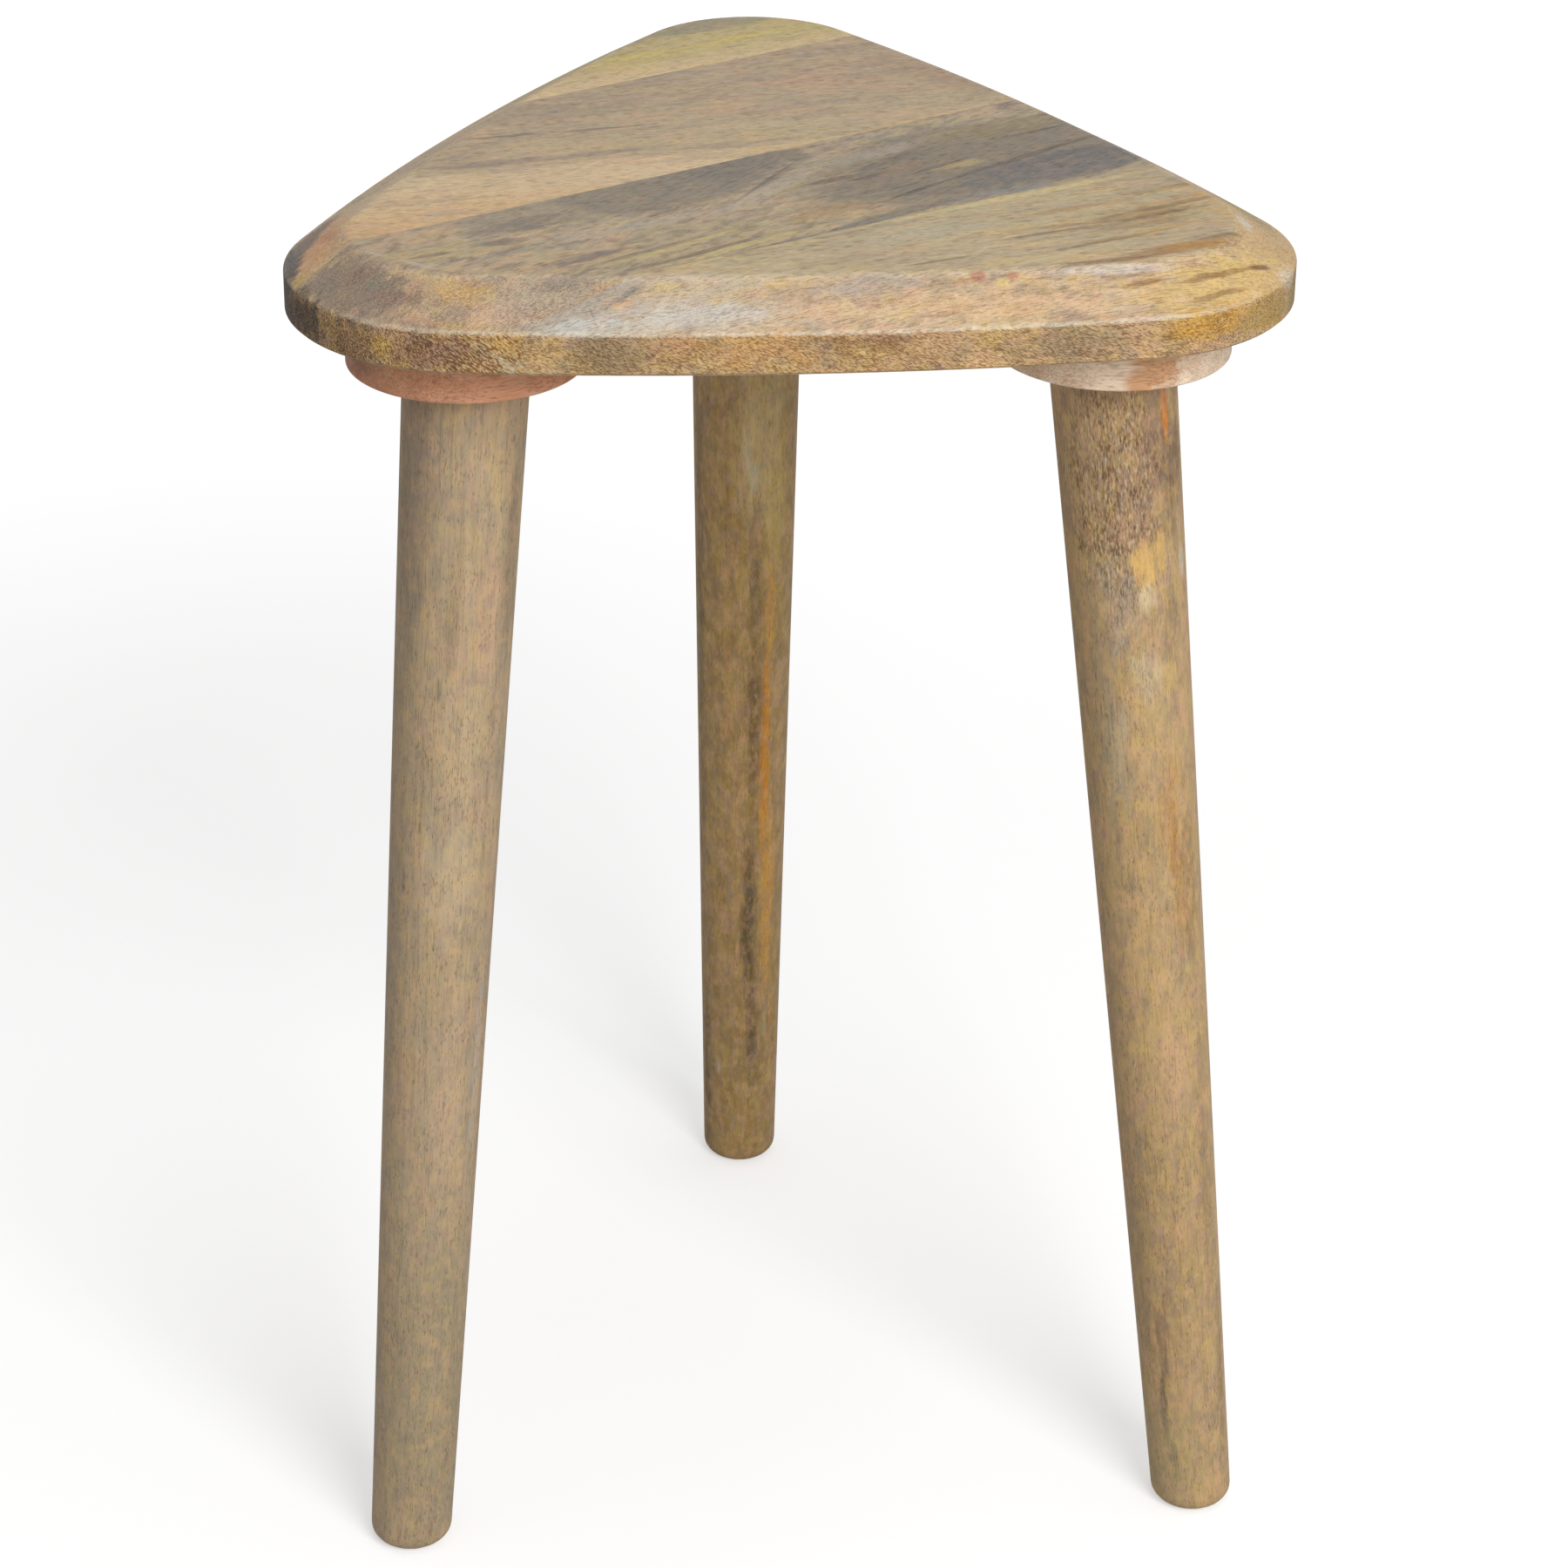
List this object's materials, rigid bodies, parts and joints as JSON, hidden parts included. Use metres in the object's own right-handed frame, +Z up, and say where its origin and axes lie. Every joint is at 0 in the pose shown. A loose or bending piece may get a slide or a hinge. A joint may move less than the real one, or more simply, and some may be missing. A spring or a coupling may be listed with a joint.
{
  "type": "triangular side table",
  "caption": "Small side table: a rounded-triangle top of edge-glued boards with a wide bevel, round pads under its corners, and splayed, tapered round legs.",
  "frame": {"origin": "on the floor, under the middle of the whole table's box", "axes": "+Z up; +Y towards the back corner of the top; +X to the right seen from the long front edge"},
  "size_m": [0.3347, 0.3176, 0.5],
  "materials": {
    "board_rear_wood": "satin clear lacquer",
    "board_mid_rear_wood": "satin clear lacquer",
    "board_mid_front_wood": "satin clear lacquer",
    "board_front_wood": "satin clear lacquer",
    "pad_left_wood": "satin clear lacquer",
    "pad_right_wood": "satin clear lacquer",
    "pad_back_wood": "satin clear lacquer",
    "leg_left_wood": "satin clear lacquer",
    "leg_right_wood": "satin clear lacquer",
    "leg_back_wood": "satin clear lacquer",
    "bolt_steel": "bright zinc plate",
    "insert_steel": "bright zinc plate",
    "screw_steel": "yellow zinc plate"
  },
  "bodies": {
    "root": {"top_board_rear": "board_rear_wood", "top_board_mid_rear": "board_mid_rear_wood", "top_board_mid_front": "board_mid_front_wood", "top_board_front": "board_front_wood", "leg_pad_left": "pad_left_wood", "leg_pad_right": "pad_right_wood", "leg_pad_back": "pad_back_wood", "leg_left": "leg_left_wood", "leg_right": "leg_right_wood", "leg_back": "leg_back_wood", "hanger_bolt_left": "bolt_steel", "hanger_bolt_right": "bolt_steel", "hanger_bolt_back": "bolt_steel", "insert_nut_left": "insert_steel", "insert_nut_right": "insert_steel", "insert_nut_back": "insert_steel", "pad_screws_left": "screw_steel", "pad_screws_right": "screw_steel", "pad_screws_back": "screw_steel"}
  },
  "joints": []
}
